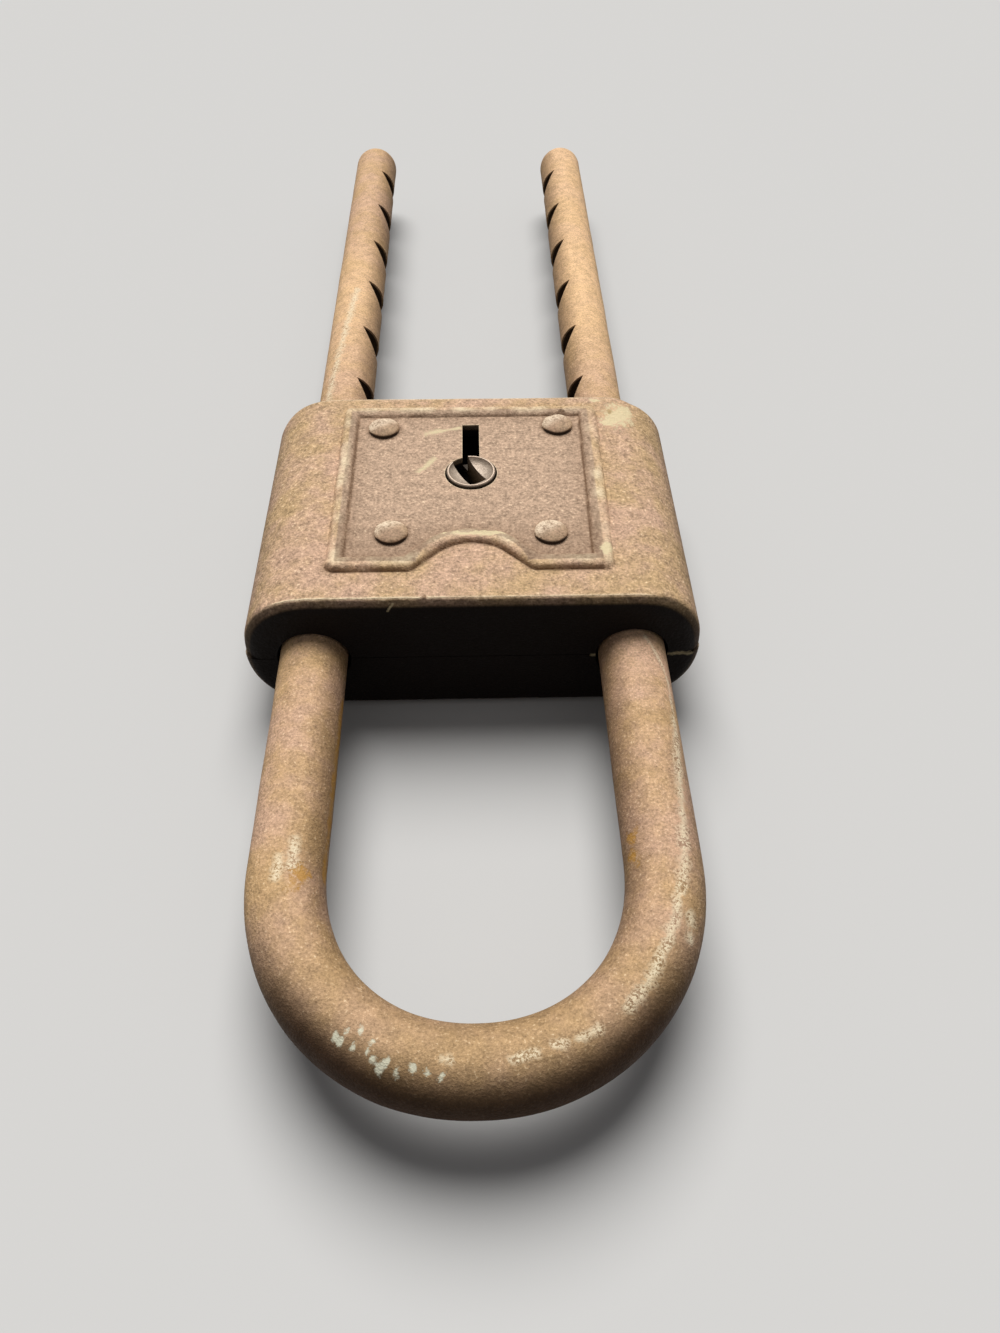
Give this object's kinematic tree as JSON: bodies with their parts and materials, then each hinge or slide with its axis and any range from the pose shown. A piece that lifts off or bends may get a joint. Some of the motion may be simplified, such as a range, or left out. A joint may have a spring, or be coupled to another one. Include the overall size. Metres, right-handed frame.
{
  "type": "rusty padlock",
  "caption": "Old adjustable padlock: two notched legs slide through a riveted case and catch on sprung dogs; a key drum draws the dogs clear.",
  "frame": {"origin": "centre of the case's flat back face", "axes": "+Z out of the keyhole face, +Y along the legs towards their free ends, +X to the right seen from the keyhole side with the bow nearest"},
  "size_m": [0.054, 0.1885, 0.0189],
  "materials": {
    "case": "brown rust patina, worn along the edges",
    "rivet": "domed heads, browned and rubbed",
    "shackle": "brown patina, rubbed bright in streaks",
    "drum": "dull turned steel, dirt in the dish",
    "works": "dull, oily",
    "lever_brass": "dull stamped brass",
    "spring": "dark spring steel"
  },
  "bodies": {
    "case": {"front_shell": "case", "back_shell": "case", "far_left_rivet": "rivet", "far_right_rivet": "rivet", "near_left_rivet": "rivet", "near_right_rivet": "rivet", "drum_bush": "lever_brass", "partition_plate": "lever_brass", "lever_bush": "lever_brass", "rear_lever_spring": "spring", "middle_lever_spring": "spring", "front_lever_spring": "spring", "lever_spring_block": "lever_brass", "dog_spring": "spring", "dog_spring_post": "works"},
    "shackle": {"shackle": "shackle"},
    "drum": {"key_drum": "drum", "cam_plate": "works"},
    "left_dog": {"left_dog": "works"},
    "right_dog": {"right_dog": "works"},
    "rear_lever": {"rear_lever": "lever_brass"},
    "middle_lever": {"middle_lever": "lever_brass"},
    "front_lever": {"front_lever": "lever_brass"}
  },
  "joints": [
    {"name": "shackle_slide", "type": "slide", "parent": "case", "child": "shackle", "axis": [0, 1, 0], "range_m": [-0.1001, 0.0143]},
    {"name": "right_dog_slide", "type": "slide", "parent": "case", "child": "right_dog", "axis": [1, 0, 0], "range_m": [0, 0.00251]},
    {"name": "left_dog_slide", "type": "slide", "parent": "case", "child": "left_dog", "axis": [-1, 0, 0], "range_m": [0, 0.00252]},
    {"name": "drum_turn", "type": "hinge", "parent": "case", "child": "drum", "pos_m": [0, 0.00295, 0.009], "axis": [0, 0, 1], "range_deg": [-30, 0]},
    {"name": "rear_lever_lift", "type": "hinge", "parent": "case", "child": "rear_lever", "pos_m": [-0.0114, 0.0122, 0.0128], "axis": [0, 0, 1], "range_deg": [-5.01, 0]},
    {"name": "middle_lever_lift", "type": "hinge", "parent": "case", "child": "middle_lever", "pos_m": [-0.0114, 0.0122, 0.0137], "axis": [0, 0, 1], "range_deg": [-5.01, 0]},
    {"name": "front_lever_lift", "type": "hinge", "parent": "case", "child": "front_lever", "pos_m": [-0.0114, 0.0122, 0.0147], "axis": [0, 0, 1], "range_deg": [-5.01, 0]}
  ],
  "couplings": [
    {"joint": "left_dog_slide", "follows": "right_dog_slide", "ratio": 1},
    {"joint": "drum_turn", "follows": "right_dog_slide", "rad_per_m": -208.33},
    {"joint": "rear_lever_lift", "follows": "right_dog_slide", "rad_per_m": -34.722},
    {"joint": "middle_lever_lift", "follows": "right_dog_slide", "rad_per_m": -34.722},
    {"joint": "front_lever_lift", "follows": "right_dog_slide", "rad_per_m": -34.722}
  ]
}
